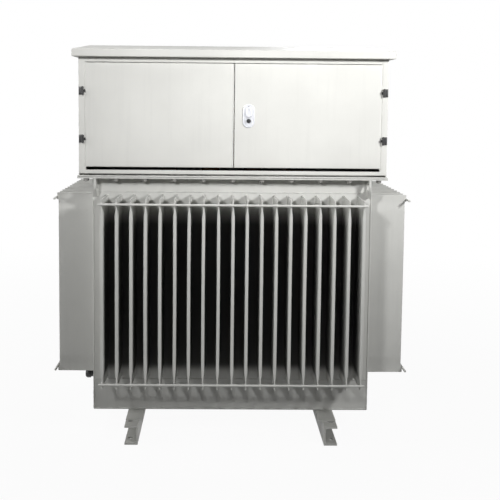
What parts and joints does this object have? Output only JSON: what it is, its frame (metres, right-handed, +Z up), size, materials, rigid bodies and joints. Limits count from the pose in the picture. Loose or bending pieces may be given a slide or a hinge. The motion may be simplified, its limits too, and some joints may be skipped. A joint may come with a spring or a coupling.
{
  "type": "oil-filled distribution transformer with terminal cabinet",
  "caption": "Oil-filled distribution transformer: corrugated-fin tank on channel rails, with a double-door terminal cabinet under a shallow rain roof.",
  "frame": {"origin": "on the floor under the middle of the tank", "axes": "+X to the right seen from the doors, doors face -Y, +Z up"},
  "size_m": [1.2886, 0.9026, 1.414],
  "materials": {
    "tank_paint": "satin warm-grey enamel",
    "cabinet_paint": "satin light warm-grey powder coat",
    "black_hinge": "satin black",
    "black_valve": "satin black",
    "black_rubber": "matte",
    "lock_metal": "satin plated",
    "porcelain": "brown glaze",
    "brass_terminal": "machined",
    "core_and_oil": "sealed inside"
  },
  "bodies": {
    "root": {"front_corrugated_wall": "tank_paint", "rear_corrugated_wall": "tank_paint", "left_corrugated_wall": "tank_paint", "right_corrugated_wall": "tank_paint", "tank_bottom": "tank_paint", "core_and_oil": "core_and_oil", "rim_flange": "tank_paint", "cover_gasket": "black_rubber", "tank_cover": "tank_paint", "front_fin_rods": "tank_paint", "rear_fin_rods": "tank_paint", "left_fin_rods": "tank_paint", "right_fin_rods": "tank_paint", "lifting_lugs": "tank_paint", "left_base_rail": "tank_paint", "right_base_rail": "tank_paint", "rail_pads": "tank_paint", "drain_valve": "black_valve", "cabinet_left_side": "cabinet_paint", "cabinet_right_side": "cabinet_paint", "cabinet_back": "cabinet_paint", "cabinet_sill": "cabinet_paint", "cabinet_header": "cabinet_paint", "cabinet_roof": "cabinet_paint", "left_post_hinges": "black_hinge", "right_post_hinges": "black_hinge", "high_voltage_bushings": "porcelain", "low_voltage_bushings": "porcelain", "high_voltage_studs": "brass_terminal", "low_voltage_palms": "brass_terminal"},
    "left_door": {"left_door": "cabinet_paint", "left_door_hinges": "black_hinge"},
    "right_door": {"right_door": "cabinet_paint", "right_door_hinges": "black_hinge", "lock_plate": "lock_metal", "lock_lever": "lock_metal", "lock_cylinder": "lock_metal", "lock_cam": "lock_metal"}
  },
  "joints": [
    {"name": "left_door_swing", "type": "hinge", "parent": "root", "child": "left_door", "pos_m": [-0.527, -0.357, 1.148], "axis": [0, 0, -1], "range_deg": [0, 110]},
    {"name": "right_door_swing", "type": "hinge", "parent": "root", "child": "right_door", "pos_m": [0.527, -0.357, 1.148], "axis": [0, 0, 1], "range_deg": [0, 110]}
  ]
}
